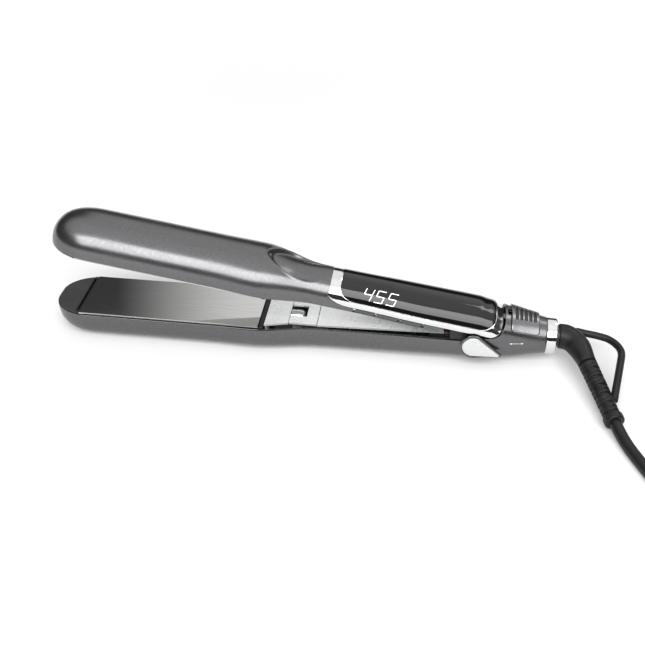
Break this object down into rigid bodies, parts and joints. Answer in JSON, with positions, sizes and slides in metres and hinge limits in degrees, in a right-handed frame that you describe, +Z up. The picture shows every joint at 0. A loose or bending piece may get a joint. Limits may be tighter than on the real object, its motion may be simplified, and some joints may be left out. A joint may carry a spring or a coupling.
{
  "type": "flat iron",
  "caption": "Hair flat iron with two sprung arms, floating titanium plates, a digital display, push buttons, a slide lock and a swivel mains cord with a hang loop.",
  "frame": {"origin": "middle of the iron's underside on the surface that it lies on, without the cord and its sleeve", "axes": "+X along the iron towards the cord, -X towards the nose, +Z up, -Y towards the side with the buttons"},
  "size_m": [0.4486, 0.1771, 0.0745],
  "materials": {
    "metallic_grey": "satin metallic lacquer over moulded plastic",
    "nose_dark": "satin",
    "carrier_black": "fine moulded texture",
    "titanium": "polished titanium coating",
    "heater_ceramic": "unglazed",
    "silicone": "moulded silicone",
    "silver_cover": "bright satin",
    "steel": "zinc plated",
    "chrome": "polished plating",
    "black_gloss": "polished",
    "display_light": "lit segments",
    "module_dark": "moulded",
    "circuit_board": "solder mask",
    "button_grey": "satin",
    "bronze": "sintered",
    "wire_red": "insulation",
    "rubber_black": "satin moulded",
    "tie_black": "hook and loop strap",
    "plug_brass": "plated"
  },
  "bodies": {
    "lower_arm": {"lower_shell": "metallic_grey", "lower_nose_cap": "nose_dark", "lower_carrier": "carrier_black", "lower_cushions": "silicone", "lower_end_bar": "carrier_black", "heat_shield_front": "silver_cover", "heat_shield_middle": "silver_cover", "stop_bumper": "silicone", "heat_shield_rear": "silver_cover", "shield_screws": "steel", "lower_bracket": "steel", "hinge_pin": "steel", "pin_clips": "steel", "torsion_spring": "steel", "pivot_rims": "metallic_grey", "pivot_caps": "silver_cover", "rear_barrel": "metallic_grey", "end_ring": "chrome", "swivel_socket": "carrier_black", "power_board": "circuit_board", "lead_wires": "wire_red", "cord_lead": "rubber_black", "cord_coil": "rubber_black", "cord_end": "rubber_black", "cord_tie": "tie_black", "plug_body": "rubber_black", "plug_blades": "plug_brass"},
    "lower_plate_set": {"lower_plate": "titanium", "lower_heater": "heater_ceramic"},
    "upper_plate_set": {"upper_plate": "titanium", "upper_heater": "heater_ceramic"},
    "lock": {"lock_slider": "metallic_grey", "lock_tongue": "steel"},
    "power_key": {"power_button": "button_grey"},
    "temp_up_key": {"temp_up_button": "button_grey"},
    "temp_down_key": {"temp_down_button": "button_grey"},
    "cord_swivel": {"swivel_journal": "rubber_black", "strain_relief": "rubber_black", "relief_tail": "rubber_black", "hang_loop": "rubber_black"},
    "upper_arm": {"upper_shell": "metallic_grey", "upper_nose_cap": "nose_dark", "upper_carrier": "carrier_black", "upper_cushions": "silicone", "upper_end_bar": "carrier_black", "upper_cover": "silver_cover", "bezel": "chrome", "display_lens": "black_gloss", "display_module": "module_dark", "display_digits": "display_light", "control_board": "circuit_board", "button_pad": "silicone", "handle_frame": "nose_dark", "ion_module": "module_dark", "lock_catch": "steel", "upper_bracket": "steel", "hinge_bushes": "bronze"}
  },
  "joints": [
    {"name": "arm_hinge", "type": "hinge", "parent": "lower_arm", "child": "upper_arm", "pos_m": [0.1027, 0, 0.0144], "axis": [0, -1, 0], "range_deg": [0, 9.2], "stiffness_Nm_per_rad": 0.4, "springref_deg": -40.11},
    {"name": "lower_plate_float", "type": "slide", "parent": "lower_arm", "child": "lower_plate_set", "axis": [0, 0, -1], "range_m": [0, 0.0004], "stiffness_N_per_m": 4000, "springref_m": -0.0006},
    {"name": "upper_plate_float", "type": "slide", "parent": "upper_arm", "child": "upper_plate_set", "axis": [0.1599, 0, 0.9871], "range_m": [0, 0.0004], "stiffness_N_per_m": 4000, "springref_m": -0.0006},
    {"name": "lock_slide", "type": "slide", "parent": "lower_arm", "child": "lock", "axis": [-0.9744, 0, 0.225], "range_m": [0, 0.0026]},
    {"name": "power_press", "type": "slide", "parent": "upper_arm", "child": "power_key", "axis": [0, 1, 0], "range_m": [0, 0.0006], "stiffness_N_per_m": 600, "springref_m": -0.0003},
    {"name": "temp_up_press", "type": "slide", "parent": "upper_arm", "child": "temp_up_key", "axis": [0, 1, 0], "range_m": [0, 0.0006], "stiffness_N_per_m": 600, "springref_m": -0.0003},
    {"name": "temp_down_press", "type": "slide", "parent": "upper_arm", "child": "temp_down_key", "axis": [0, 1, 0], "range_m": [0, 0.0006], "stiffness_N_per_m": 600, "springref_m": -0.0003},
    {"name": "cord_turn", "type": "hinge", "parent": "lower_arm", "child": "cord_swivel", "pos_m": [0.148, 0, 0.01445], "axis": [1, 0, 0], "continuous": true}
  ]
}
